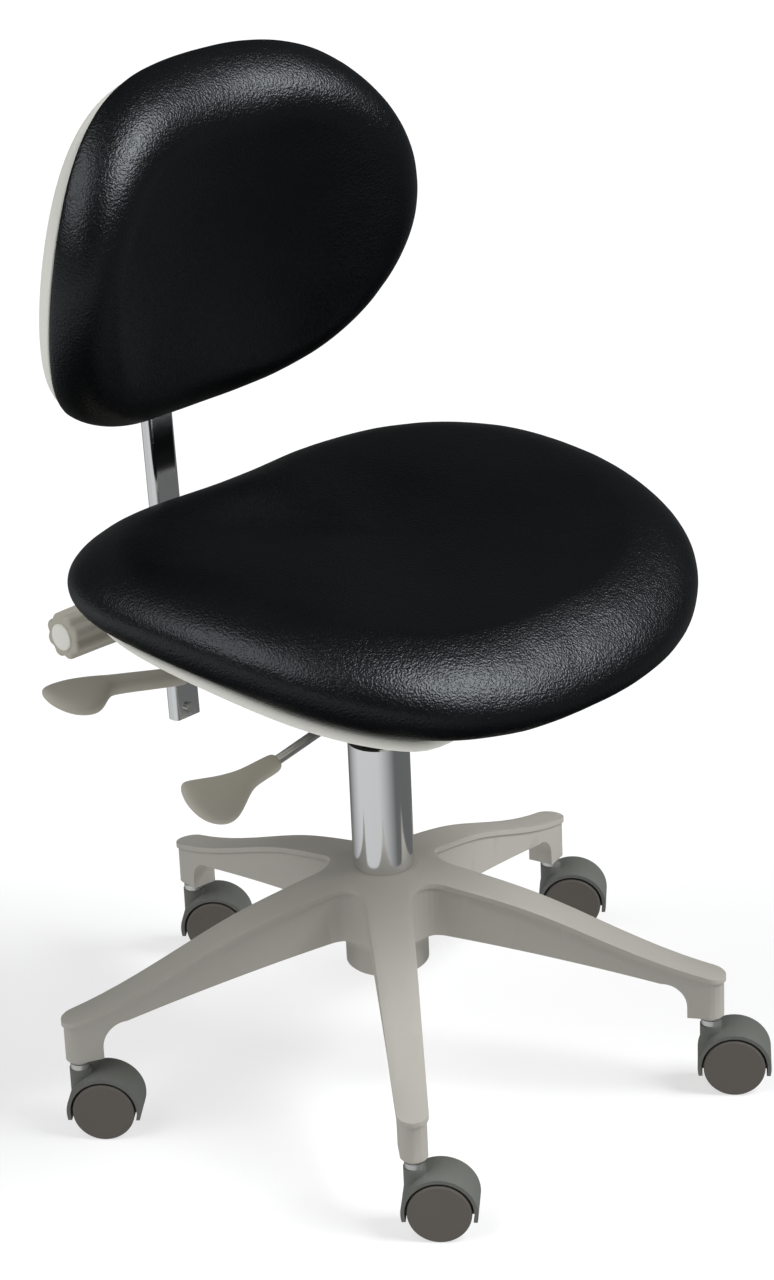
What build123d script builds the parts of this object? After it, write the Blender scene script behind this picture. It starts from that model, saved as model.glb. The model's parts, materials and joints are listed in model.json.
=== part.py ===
from build123d import *

import math
import os

# Swivel stool with a backrest, on a five-arm base with twin-wheel casters.
# Millimetres, +Z up, origin on the floor under the column; the sitter faces -Y.

# ---------------------------------------------------------------- driving dimensions
FIT = 0.05  # radial clearance of every running fit
GAP = 0.3  # clearance between pieces that only lie close together
OVERCUT = 1.0  # how far a cut runs past the face it opens
SHEET = 3.0  # thickness of every pressed steel piece

# base: radii from the column axis, heights from the floor
ARM_COUNT = 5
ARM_FIRST_ANGLE = 85.0
STEM_CIRCLE_R = 268.0
ARM_HALF_WIDTH_HUB = 19.7
ARM_HALF_WIDTH_TIP = 12.5
ARM_WEB_RADIUS = 22.0  # plan fillet between neighbouring arms
ARM_WEB_ZONE = (20.0, 45.0)  # radii between which the edges of neighbouring arms meet
ARM_END_R = 281.5
ARM_CREST = ((ARM_END_R, 101.5), (250.0, 108.5), (188.0, 130.0), (125.0, 154.3), (62.0, 171.5), (28.0, 180.0))
ARM_ARCH = ((230.0, 95.5), (140.0, 113.0), (49.0, 127.0))  # underside of an arm, from its end block inwards
HUB_FILLET_MIDDLE = (38.5, 122.5)
HUB_FILLET_END_Z = 112.0
LIP_INSET = 1.6
LIP_HEIGHT = 4.5
BASE_WALL = 6.5
BASE_REACH_Z = 200.0  # height that clears the whole base
ARM_RIB = 3.0  # rib along the middle of an arm's hollow
HOLLOW_INNER_R = 58.0
HUB_TOP_Z = 180.0
HUB_BOTTOM_Z = 92.0
HUB_R = 34.0
HUB_CHAMFER = 2.0
HUB_BORE_R = 20.0
SOCKET_BOTTOM_Z = 62.5
SOCKET_INNER_R = 251.0  # where the end block of an arm begins
SOCKET_CORNER_Z = 76.0  # where the end block turns into the arch
SOCKET_CONE_R = (7.5, 11.0)
SOCKET_CONE_HEIGHT = 3.5
STEM_DEPTH = 30.0  # of the caster stem in its socket
STEM_SOCKET_DEPTH = 32.0

# gas column
COLUMN_R = 25.0
COLUMN_WALL = 2.0
COLUMN_SEAT_Z = 98.0  # ledge in the hub that the tube stands on
COLUMN_TOP_Z = 288.0
BUSH_LENGTH = 85.0
BUSH_FLANGE = 4.0
BUSH_CHAMFER = 1.2
CYLINDER_R = 14.0
CYLINDER_BOTTOM_Z = 116.0
CYLINDER_SHOULDER_Z = 305.0
CYLINDER_TOP_Z = 339.0
CYLINDER_TAPER = 0.8  # radius lost from the shoulder to the top
CYLINDER_WALL = 1.4
CYLINDER_BOTTOM_CAP = 12.0
CYLINDER_TOP_CAP = 10.0
ROD_R = 5.0
ROD_HOLE_R = 5.5
ROD_END = 2.0  # length of the rod below its clip
PISTON_R = 12.4
PISTON_Z = (286.0, 300.0)
ROD_COLLAR_R = 8.0
ROD_COLLAR_HEIGHT = 4.0
CLIP_THICKNESS = 1.5
CLIP_GROOVE_R = 3.6
CLIP_R = 8.5
CLIP_MOUTH = 5.0
BEARING_R = 12.0
BEARING_HEIGHT = 8.0
BEARING_GROOVE_R = 2.5
BEARING_GROOVE_CENTRE_R = 12.5
BUTTON_R = 4.0
BUTTON_LENGTH = 20.5
BUTTON_TOP_Z = 345.5
BUTTON_EDGE_R = 1.0

# casters: heights from the floor, widths from the middle of the caster
WHEEL_R = 25.0
WHEEL_FACE = 18.6
WHEEL_INNER = 6.3
WHEEL_EDGE_R = 2.0
WHEEL_RIM = 5.0
WHEEL_HUB_R = 7.0
HOOD_HALF_WIDTH = 18.0
HOOD_OUTER_R = 29.8
HOOD_INNER_R = 26.8
HOOD_WEB_HALF = 5.7
HOOD_TIP_Z = 18.0
HOOD_CUT = 100.0  # side of the block that cuts the hood's lower end
NECK_R = 8.8
NECK_Z = (26.0, 57.3)
CASTER_TRAIL = 19.0
CASTER_ANGLE = -49.4
CASTER_STEM_R = 5.5
CASTER_SHANK_R = 4.0  # the stem's lower end, held in the hood
CASTER_SHANK_Z = (34.0, 57.5)
STEM_COLLAR_R = 8.0
STEM_CHAMFER = 1.0
AXLE_R = 3.0
AXLE_HALF = 16.0
AXLE_BORE_HALF = 16.5

# mechanism under the seat
HOUSING_HALF_WIDTH = 50.0
HOUSING_FRONT_Y = -24.0
HOUSING_SLOPE_Y = 60.0  # where the sloping front of its floor ends
HOUSING_REAR_Y = 176.0
HOUSING_FRONT_Z = 318.0
HOUSING_BOTTOM_Z = 306.0
HOUSING_TOP_Z = 352.0
HOUSING_EDGE_R = 5.0
SOCKET_R = 20.0
SOCKET_TOP_Z = 338.0
BOLT_R = 4.0
BOLT_Y = (34.0, 100.0)
BOLT_Z = 340.0
BOLT_HEAD_R = 7.0
BOLT_HEAD = 5.0
BOLT_END = 8.0
SEAT_PLATE_Z = (326.0, 411.0)
SEAT_PLATE_Y = (-60.0, 110.0)
SEAT_PLATE_EDGE_R = 6.0
SEAT_PLATE_CUT = (13.0, 69.0)  # length and height of the cut corners of its flanges
LEVER_ROD_R = 4.0
LEVER_PIN_R = 2.0
LEVER_PIN_HALF = 9.5
LEVER_LUG_HALF = 5.0
LEVER_LUG_Y = 5.0  # inner face of a lug, from the lever's middle
HEIGHT_PIVOT = (-36.0, 0.0, 334.0)
HEIGHT_ROD = ((12.0, 0.0, 350.0), (-18.0, 0.0, 350.0), (-48.0, 0.0, 323.3), (-150.0, -8.0, 311.0))
HEIGHT_PADDLE = ((-117.0, -6.0, 315.0), (-212.0, -2.0, 317.0))
HEIGHT_PADDLE_TILT = 40.0
HEIGHT_SLOT = (-7.0, 7.0, 318.5, 334.0)  # Y and Z limits of the slot for the rod
TILT_PIVOT = (-40.0, 164.0, 316.0)
TILT_ROD = ((-32.0, 164.0, 316.0), (-96.0, 168.0, 322.0))
TILT_PADDLE = ((-58.0, 165.0, 319.0), (-198.0, 173.0, 342.0))
TILT_PADDLE_TILT = 20.0
TILT_SLOT = (156.0, 172.0, 309.0, 328.0)
# share of the paddle's length, half width and half thickness
PADDLE_SHAPE = ((0, 7.5, 7.5), (0.2, 8, 7), (0.42, 12.5, 6.5), (0.65, 21, 7), (0.85, 20, 6), (0.97, 10, 4))

# back arm, sleeve and post
BACK_PIVOT_Y = 142.0
BACK_PIVOT_Z = 330.0
BACK_PIN_R = 6.0
BACK_PIN_HEAD_R = 10.0
BACK_PIN_HEAD = 5.0
BACK_PIN_END = 7.0
WASHER = 2.0
BARREL_R = 11.0
ARM_BAR_HALF_WIDTH = 28.0
ARM_BAR_Z = (325.0, 337.0)
ARM_BRACKET_HALF_WIDTH = 20.0
ARM_BRACKET_TOP_Z = 382.0
ARM_BRACKET_DEPTH = 18.0
ARM_RIB_X = (12.0, 16.0)
ARM_RIB_Z = (336.0, 380.0)
ARM_RIB_START = 26.0  # behind the pivot
POST_WIDTH = 28.0
POST_DEPTH = 12.5
POST_CORNER_R = 4.0
POST_FOOT = (236.0, 241.5)  # Y and Z of the lower end
POST_LEAN = 2.2
POST_BEND_LENGTH = 360.0  # from the lower end to the bend, along the post
POST_HEAD_LENGTH = 72.0
SLEEVE_BOTTOM = 80.0  # distances along the post from its lower end
SLEEVE_TOP = 152.0
SLEEVE_WALL = 7.5
SLEEVE_CORNER_R = 6.0
SLEEVE_EDGE_R = 2.0
SLEEVE_ROOM = 10.0  # the back arm is cut away this far above and below the sleeve
BOSS_R = 13.0
BOSS_END_X = -52.0
KNOB_ALONG_POST = 112.0
KNOB_INNER_X = -56.0
KNOB_OUTER_X = -122.0
KNOB_R = 17.0
KNOB_TAPER = 1.5
KNOB_EDGE_R = 4.0
KNOB_FLUTES = 8
KNOB_FLUTE_R = 9.0
KNOB_FLUTE_DEPTH = 1.8
KNOB_CAP_R = 8.0
KNOB_CAP_DEPTH = 2.0
KNOB_CAP_EDGE_R = 1.5
STUD_R = 4.0
STUD_DEPTH = 24.0
STOP_SCREW_ALONG_POST = 9.0
STOP_SCREW_R = 2.5
STOP_SCREW_HEAD_R = 4.5
STOP_SCREW_HEAD = 3.0

# seat: the heights of its long curves are polynomials of y / 100
SEAT_CENTRE_Y = -16.9
SEAT_OUTLINE = (233.4, -8.6, 12.8, 8.4, -10.6)
SEAT_REACH_Y = (-255.0, 185.0)
SEAT_REACH_Z = (340.0, 540.0)
SEAT_CURVE_STEPS = 8
SEAT_WAIST = (460.2, 2.52, -5.07, 0.41, -0.13, 0.107)  # the cushion's widest line
SEAT_UNDERSIDE = (431.9, 7.9, -5.5)
SEAT_PAN_BOTTOM = (421.5, 10.8, -4.2)
SEAT_CROWN = 30.0  # from the widest line up
PAN_INSET = 24.0
PAN_WALL = 3.0
BOARD_INSET = 42.0
BOARD_THICKNESS = 7.7
BOARD_ROOM = 2.0  # around the board in the cushion's recess
PLINTH_MARGIN = 8.0
PLINTH_EDGE_R = 12.0
PLINTH_REACH = 60.0  # depth below the cushion that takes in the whole plinth
SEAT_SCREW_X = 38.0
SEAT_SCREW_Y = (-35.0, 85.0)
SEAT_SCREW_BITE = 6.0  # into the board
SCREW_R = 3.0
SCREW_HEAD_R = 6.0
SCREW_HEAD = 4.0

# backrest
BACK_CENTRE = (209.3, 672.6)  # Y and Z of the middle of the cushion's rear face
BACK_LEAN = 11.8  # top leans forward
BACK_OUTLINE = (173.9, 9.0, 16.3, 4.3, -4.1)
BACK_REACH_Z = 220.0
BACK_REACH_Y = (-200.0, 120.0)
BACK_CURVE_R = 299.0
BACK_CUSHION_DEPTH = 62.0
BACK_BOARD_DEPTH = 8.0
BACK_BOARD_INSET = 14.0
BACK_SHELL_DEPTH = 16.0
BACK_SHELL_INSET = 4.0
BACK_SHELL_WALL = 4.0
BACK_POST_ROOM = 2.0
BACK_SCREW_X = 30.0
BACK_SCREW_U = (-66.0, -14.0)  # heights of the bracket screws above the backrest's centre
BACK_SCREW_R = 2.5
BACK_SCREW_START = 2.0
BACK_SCREW_HEAD_R = 5.0
BACK_SCREW_HEAD = 3.0
BACK_PAD_MARGIN = (12.0, 14.0)  # sideways and endways past the screws
BRACKET_MARGIN = (9.0, 11.0)
BRACKET_EDGE_R = 6.0


# ---------------------------------------------------------------- helpers
def save(name, *solids):
    """Writes one node, a single solid or a group of separate ones."""
    piece = solids[0] if len(solids) == 1 else Compound(children=list(solids))
    export_step(piece, f"parts/{name}.step")


def rod_between(start, end, radius):
    """Round bar from one point to another."""
    line = Edge.make_line(start, end)
    return extrude(Plane(origin=start, z_dir=line % 0) * Circle(radius), line.length)


def disc_x(radius, x_low, x_high, y, z):
    """Round bar along X."""
    return extrude(Plane(origin=(x_low, y, z), z_dir=(1, 0, 0)) * Circle(radius), x_high - x_low)


def disc_y(radius, y_low, y_high, x, z):
    """Round bar along Y."""
    return extrude(Plane(origin=(x, y_low, z), z_dir=(0, 1, 0)) * Circle(radius), y_high - y_low)


def disc_z(radius, z_low, z_high, x=0.0, y=0.0):
    """Round bar along Z."""
    return extrude(Pos(x, y, z_low) * Circle(radius), z_high - z_low)


def block(x_low, x_high, y_low, y_high, z_low, z_high):
    """Rectangular block given by its six faces."""
    size = (x_high - x_low, y_high - y_low, z_high - z_low)
    centre = ((x_low + x_high) / 2, (y_low + y_high) / 2, (z_low + z_high) / 2)
    return Pos(*centre) * Box(*size)


def turned(section):
    """Solid of revolution about the column axis."""
    return revolve(Plane.XZ * section, Axis.Z, 360)


def rounded_outline(terms, inset):
    """Closed outline r = a0 + a1 sin t + a2 cos 2t + a3 sin 3t + a4 cos 4t, drawn in by `inset`."""
    a0, a1, a2, a3, a4 = terms
    steps = 32
    points = []
    for step in range(steps):
        t = 2 * math.pi * step / steps
        r = a0 - inset + a1 * math.sin(t) + a2 * math.cos(2 * t) + a3 * math.sin(3 * t) + a4 * math.cos(4 * t)
        points.append((r * math.cos(t), r * math.sin(t)))
    return make_face(Spline(*points, periodic=True))


# ---------------------------------------------------------------- base
def arm_angle(index):
    """Direction of an arm, in degrees from +X."""
    return ARM_FIRST_ANGLE + index * 360 / ARM_COUNT


def base_plan(inset):
    """Hub and tapered arms seen from above, drawn in by `inset`."""
    half_tip = ARM_HALF_WIDTH_TIP - inset
    half_hub = ARM_HALF_WIDTH_HUB - inset
    reach = STEM_CIRCLE_R
    arm = make_face(Polyline((0, -half_hub), (reach, -half_tip), (reach, half_tip), (0, half_hub), close=True))
    arm += Pos(reach, 0) * Circle(half_tip)
    plan = Sketch()
    for index in range(ARM_COUNT):
        plan += Rot(0, 0, arm_angle(index)) * arm
    low, high = ARM_WEB_ZONE
    corners = [v for v in plan.vertices() if low < math.hypot(v.X, v.Y) < high]
    return fillet(corners, ARM_WEB_RADIUS + inset)


def dome(drop):
    """Everything under the top of the base, lowered by `drop`, as a solid of revolution."""
    top = Spline(*[(r, z - drop) for r, z in ARM_CREST])
    rest = Polyline(top @ 1, (0, HUB_TOP_Z - drop), (0, 0), (ARM_END_R, 0), top @ 0)
    return turned(make_face([top, rest]))


def base_body():
    """Solid of revolution with the side outline of hub, arm and caster socket."""
    socket_z = SOCKET_BOTTOM_Z + SOCKET_CONE_HEIGHT
    corner = (SOCKET_INNER_R, SOCKET_CORNER_Z)
    arch_tip, arch_middle, arch_hub = ARM_ARCH
    hub_side = (HUB_R, HUB_FILLET_END_Z)
    top = Spline(*ARM_CREST)
    end_fillet = TangentArc(corner, arch_tip, tangent=(0, 1))
    arch = ThreePointArc(arch_tip, arch_middle, arch_hub)
    hub_fillet = ThreePointArc(arch_hub, HUB_FILLET_MIDDLE, hub_side)
    chamfer_top = (HUB_R, HUB_BOTTOM_Z + HUB_CHAMFER)
    chamfer_end = (HUB_R - HUB_CHAMFER, HUB_BOTTOM_Z)
    hub = Polyline(hub_side, chamfer_top, chamfer_end, (0, HUB_BOTTOM_Z), (0, HUB_TOP_Z), top @ 1)
    tip = Polyline(top @ 0, (ARM_END_R, socket_z), (SOCKET_INNER_R, socket_z), corner)
    return turned(make_face([top, tip, end_fillet, arch, hub_fillet, hub]))


def stem_places():
    """Number and X, Y position of each caster stem."""
    for index in range(ARM_COUNT):
        angle = math.radians(arm_angle(index))
        yield index + 1, STEM_CIRCLE_R * math.cos(angle), STEM_CIRCLE_R * math.sin(angle)


def make_base():
    lip = extrude(base_plan(0), BASE_REACH_Z) & (dome(0) - dome(LIP_HEIGHT))
    spider = lip + (extrude(base_plan(LIP_INSET), BASE_REACH_Z) & base_body())
    hollow = extrude(base_plan(BASE_WALL), BASE_REACH_Z) & dome(BASE_WALL)
    hollow -= disc_z(HOLLOW_INNER_R, 0, BASE_REACH_Z)
    for index in range(ARM_COUNT):
        rib = block(0, STEM_CIRCLE_R, -ARM_RIB / 2, ARM_RIB / 2, 0, BASE_REACH_Z)
        hollow -= Rot(0, 0, arm_angle(index)) * rib
    for _, x, y in stem_places():
        hollow -= disc_z(STEM_CIRCLE_R - SOCKET_INNER_R + BASE_WALL, 0, BASE_REACH_Z, x, y)
    spider -= hollow
    cone = Cone(*SOCKET_CONE_R, SOCKET_CONE_HEIGHT)
    for _, x, y in stem_places():
        spider += Pos(x, y, SOCKET_BOTTOM_Z + SOCKET_CONE_HEIGHT / 2) * cone
        spider -= disc_z(
            CASTER_STEM_R + FIT, SOCKET_BOTTOM_Z - OVERCUT, SOCKET_BOTTOM_Z + STEM_SOCKET_DEPTH, x, y
        )
    spider -= disc_z(COLUMN_R + FIT, COLUMN_SEAT_Z, BASE_REACH_Z)
    spider -= disc_z(HUB_BORE_R, 0, BASE_REACH_Z)
    save("base_spider", spider)


# ---------------------------------------------------------------- gas column
def make_column():
    floor_z = COLUMN_SEAT_Z
    inner_r = COLUMN_R - COLUMN_WALL
    tube = disc_z(COLUMN_R, floor_z, COLUMN_TOP_Z) - disc_z(inner_r, floor_z + SHEET, COLUMN_TOP_Z)
    tube -= disc_z(ROD_HOLE_R, floor_z, floor_z + SHEET)
    save("column_tube", tube)

    bush = disc_z(inner_r, COLUMN_TOP_Z - BUSH_LENGTH, COLUMN_TOP_Z)
    bush += disc_z(COLUMN_R, COLUMN_TOP_Z, COLUMN_TOP_Z + BUSH_FLANGE)
    bush = chamfer(bush.edges().group_by(Axis.Z)[-1], BUSH_CHAMFER)
    bush -= disc_z(CYLINDER_R + FIT, COLUMN_TOP_Z - BUSH_LENGTH, COLUMN_TOP_Z + BUSH_FLANGE)
    save("guide_bush", bush)

    bearing_z = floor_z + SHEET
    bearing = disc_z(BEARING_R, bearing_z, bearing_z + BEARING_HEIGHT)
    bearing -= disc_z(ROD_HOLE_R, bearing_z, bearing_z + BEARING_HEIGHT)
    bearing -= turned(Pos(BEARING_GROOVE_CENTRE_R, bearing_z + BEARING_HEIGHT / 2) * Circle(BEARING_GROOVE_R))
    save("thrust_bearing", bearing)

    clip_low = floor_z - 2 * CLIP_THICKNESS
    clip_high = clip_low + CLIP_THICKNESS
    collar_z = bearing_z + BEARING_HEIGHT + FIT
    piston_low, piston_high = PISTON_Z
    rod = disc_z(ROD_R, clip_low - ROD_END, piston_high)
    rod += disc_z(ROD_COLLAR_R, collar_z, collar_z + ROD_COLLAR_HEIGHT)
    rod += disc_z(PISTON_R, piston_low, piston_high)
    rod -= disc_z(ROD_R, clip_low, clip_high) - disc_z(CLIP_GROOVE_R, clip_low, clip_high)
    save("piston_rod", rod)

    clip = disc_z(CLIP_R, clip_low, clip_high) - disc_z(CLIP_GROOVE_R, clip_low, clip_high)
    clip -= block(0, CLIP_R + OVERCUT, -CLIP_MOUTH / 2, CLIP_MOUTH / 2, clip_low, clip_high)
    save("rod_clip", clip)

    bore_low = CYLINDER_BOTTOM_Z + CYLINDER_BOTTOM_CAP
    bore_high = CYLINDER_TOP_Z - CYLINDER_TOP_CAP
    cylinder = disc_z(CYLINDER_R, CYLINDER_BOTTOM_Z, CYLINDER_SHOULDER_Z) + cylinder_taper(0)
    cylinder -= disc_z(CYLINDER_R - CYLINDER_WALL, bore_low, bore_high)
    cylinder -= disc_z(ROD_R + FIT, CYLINDER_BOTTOM_Z, bore_low)
    cylinder -= disc_z(BUTTON_R + FIT, bore_high, CYLINDER_TOP_Z)
    save("gas_cylinder", cylinder)

    button = disc_z(BUTTON_R, BUTTON_TOP_Z - BUTTON_LENGTH, BUTTON_TOP_Z)
    button = fillet(button.edges().group_by(Axis.Z)[-1], BUTTON_EDGE_R)
    save("release_button", button)


def cylinder_taper(grow):
    """The cylinder's tapered upper end, grown all round by `grow`."""
    height = CYLINDER_TOP_Z - CYLINDER_SHOULDER_Z
    cone = Cone(CYLINDER_R + grow, CYLINDER_R - CYLINDER_TAPER + grow, height)
    return Pos(0, 0, CYLINDER_SHOULDER_Z + height / 2) * cone


# ---------------------------------------------------------------- casters
def make_caster(index, x, y):
    """One hooded twin-wheel caster; local +X trails away from the stem, local Y is the axle."""
    place = Pos(x, y, 0) * Rot(0, 0, CASTER_ANGLE)
    axle_plane = Plane(origin=(CASTER_TRAIL, 0, WHEEL_R), x_dir=(1, 0, 0), z_dir=(0, -1, 0))

    def across(radius, low, high):
        return extrude(axle_plane.offset(low) * Circle(radius), high - low)

    shank_low, shank_high = CASTER_SHANK_Z
    neck_low, neck_high = NECK_Z
    stem = disc_z(CASTER_STEM_R, shank_high, SOCKET_BOTTOM_Z + STEM_DEPTH)
    stem = chamfer(stem.edges().group_by(Axis.Z)[-1], STEM_CHAMFER)
    stem += disc_z(STEM_COLLAR_R, shank_high, SOCKET_BOTTOM_Z - GAP)
    stem += disc_z(CASTER_SHANK_R, shank_low, shank_high)
    save(f"caster_{index}_stem", place * stem)

    hood = across(HOOD_OUTER_R, -HOOD_HALF_WIDTH, HOOD_HALF_WIDTH)
    hood += disc_z(NECK_R, neck_low, neck_high)
    hood -= across(HOOD_INNER_R, HOOD_WEB_HALF, WHEEL_R)
    hood -= across(HOOD_INNER_R, -WHEEL_R, -HOOD_WEB_HALF)
    hood -= Pos(CASTER_TRAIL, 0, HOOD_TIP_Z - HOOD_CUT / 2) * Box(HOOD_CUT, HOOD_CUT, HOOD_CUT)
    hood -= disc_z(CASTER_SHANK_R, shank_low, neck_high)
    hood -= across(AXLE_R, -WHEEL_INNER, WHEEL_INNER)
    save(f"caster_{index}_hood", place * hood)

    save(f"caster_{index}_axle", place * across(AXLE_R, -AXLE_HALF, AXLE_HALF))

    for side, name in ((1, "wheel_a"), (-1, "wheel_b")):
        low, high = sorted((side * WHEEL_INNER, side * WHEEL_FACE))
        wheel = fillet(across(WHEEL_R, low, high).edges(), WHEEL_EDGE_R)
        low, high = sorted((side * WHEEL_INNER, side * (WHEEL_FACE - WHEEL_RIM)))
        wheel -= across(WHEEL_R - WHEEL_RIM, low, high) - across(WHEEL_HUB_R, low, high)
        low, high = sorted((side * WHEEL_INNER, side * AXLE_BORE_HALF))
        wheel -= across(AXLE_R + FIT, low, high)
        save(f"caster_{index}_{name}", place * wheel)


# ---------------------------------------------------------------- mechanism
def housing_block(inset):
    """The mechanism housing's side view, drawn in by `inset` all round, as a block across the stool."""
    front = HOUSING_FRONT_Y + inset
    low = HOUSING_BOTTOM_Z + inset
    corners = (
        (front, HOUSING_FRONT_Z + inset), (HOUSING_SLOPE_Y, low), (HOUSING_REAR_Y, low),
        (HOUSING_REAR_Y, HOUSING_TOP_Z), (front, HOUSING_TOP_Z),
    )
    side = make_face(Polyline(*corners, close=True))
    return extrude(Plane.YZ * side, HOUSING_HALF_WIDTH - inset, both=True)


def make_housing():
    half = HOUSING_HALF_WIDTH
    outer = housing_block(0)
    lower_edges = [e for e in outer.edges() if e.center().Z < HOUSING_FRONT_Z and abs(e.center().X) > half / 2]
    shell = fillet(lower_edges, HOUSING_EDGE_R) - housing_block(SHEET)
    shell += disc_z(SOCKET_R, CYLINDER_SHOULDER_Z, SOCKET_TOP_Z)
    shell -= cylinder_taper(FIT)
    pins = []
    for x, y, z in (HEIGHT_PIVOT, TILT_PIVOT):
        lug = block(
            x - LEVER_LUG_HALF, x + LEVER_LUG_HALF, -SHEET / 2, SHEET / 2, HOUSING_BOTTOM_Z, z + LEVER_LUG_HALF
        )
        for side in (-1, 1):
            shell += Pos(0, y + side * (LEVER_LUG_Y + SHEET / 2), 0) * lug & outer
        shell -= disc_y(LEVER_PIN_R + FIT, y - LEVER_PIN_HALF, y + LEVER_PIN_HALF, x, z)
        pins.append(disc_y(LEVER_PIN_R, y - LEVER_PIN_HALF, y + LEVER_PIN_HALF, x, z))
    shell -= lever_slot(half, HEIGHT_SLOT)
    shell -= lever_slot(half, TILT_SLOT)
    for y in BOLT_Y:
        shell -= disc_x(BOLT_R + FIT, -half - OVERCUT, half + OVERCUT, y, BOLT_Z)
    shell -= disc_x(BACK_PIN_R + FIT, -half - OVERCUT, half + OVERCUT, BACK_PIVOT_Y, BACK_PIVOT_Z)
    save("mechanism_housing", shell)
    save("lever_pins", *pins)


def lever_slot(half_width, limits):
    """Slot for a lever's rod through the right-hand side of a channel of that half width."""
    return block(-half_width - OVERCUT, SHEET - half_width, *limits)


def make_seat_plate():
    outer = HOUSING_HALF_WIDTH + SHEET
    front, rear = SEAT_PLATE_Y
    low, high = SEAT_PLATE_Z
    cut_length, cut_height = SEAT_PLATE_CUT
    plate = block(-outer, outer, front, rear, low, high)
    plate = fillet(plate.edges().filter_by(Axis.Y).group_by(Axis.Z)[-1], SEAT_PLATE_EDGE_R)
    plate -= block(SHEET - outer, outer - SHEET, front, rear, low, high - SHEET)
    for end, inward in ((front, 1), (rear, -1)):
        corner = Polyline((end, low), (end, low + cut_height), (end + inward * cut_length, low), close=True)
        plate -= extrude(Plane.YZ * make_face(corner), outer + OVERCUT, both=True)
    plate -= lever_slot(outer, HEIGHT_SLOT)
    for y in BOLT_Y:
        plate -= disc_x(BOLT_R + FIT, -outer - OVERCUT, outer + OVERCUT, y, BOLT_Z)
    for x, y in seat_screw_places():
        plate -= disc_z(SCREW_R + FIT, high - SHEET, high, x, y)
    save("seat_plate", plate)

    bolts = []
    for y in BOLT_Y:
        bolt = disc_x(BOLT_R, -outer, outer + BOLT_END, y, BOLT_Z)
        for direction in (-1, 1):
            face = Plane(origin=(direction * outer, y, BOLT_Z), z_dir=(direction, 0, 0))
            bolt += extrude(face * RegularPolygon(BOLT_HEAD_R, 6), BOLT_HEAD)
        bolts.append(bolt)
    save("cross_bolts", *bolts)


def seat_screw_places():
    """Plan positions of the screws that hold the seat to its plate."""
    return [(side * SEAT_SCREW_X, y) for side in (-1, 1) for y in SEAT_SCREW_Y]


def make_levers():
    rod = rod_between(HEIGHT_ROD[0], HEIGHT_ROD[1], LEVER_ROD_R)
    for start, end in zip(HEIGHT_ROD[1:], HEIGHT_ROD[2:]):
        rod += Pos(*start) * Sphere(LEVER_ROD_R)
        rod += rod_between(start, end, LEVER_ROD_R)
    make_lever("height", rod, HEIGHT_PIVOT, make_paddle(*HEIGHT_PADDLE, HEIGHT_PADDLE_TILT))
    rod = rod_between(*TILT_ROD, LEVER_ROD_R)
    make_lever("tilt", rod, TILT_PIVOT, make_paddle(*TILT_PADDLE, TILT_PADDLE_TILT))


def make_lever(name, rod, pivot, paddle):
    """Drills a lever's rod for its pin and seats it in its paddle."""
    x, y, z = pivot
    rod -= disc_y(LEVER_PIN_R + FIT, y - LEVER_LUG_Y, y + LEVER_LUG_Y, x, z)
    save(f"{name}_lever_rod", rod)
    save(f"{name}_paddle", paddle - rod)


def make_paddle(root, tip, tilt):
    """Moulded paddle, round at the rod and a broad blade at the tip, its near edge tilted down."""
    along = Vector(*tip) - Vector(*root)
    angle = math.radians(tilt)
    across_blade = (0, math.cos(angle), math.sin(angle))
    sections = []
    for share, half_width, half_depth in PADDLE_SHAPE:
        plane = Plane(origin=Vector(*root) + along * share, x_dir=across_blade, z_dir=(-1, 0, 0))
        sections.append(plane * Ellipse(half_width, half_depth))
    return loft(sections)


# ---------------------------------------------------------------- back arm, sleeve and knob
def post_plane(distance):
    """Plane across the post, `distance` up from its lower end; local X is the stool's X."""
    lean = math.radians(POST_LEAN)
    y, z = POST_FOOT
    origin = (0, y + distance * math.sin(lean), z + distance * math.cos(lean))
    return Plane(origin=origin, x_dir=(1, 0, 0), z_dir=(0, math.sin(lean), math.cos(lean)))


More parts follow.
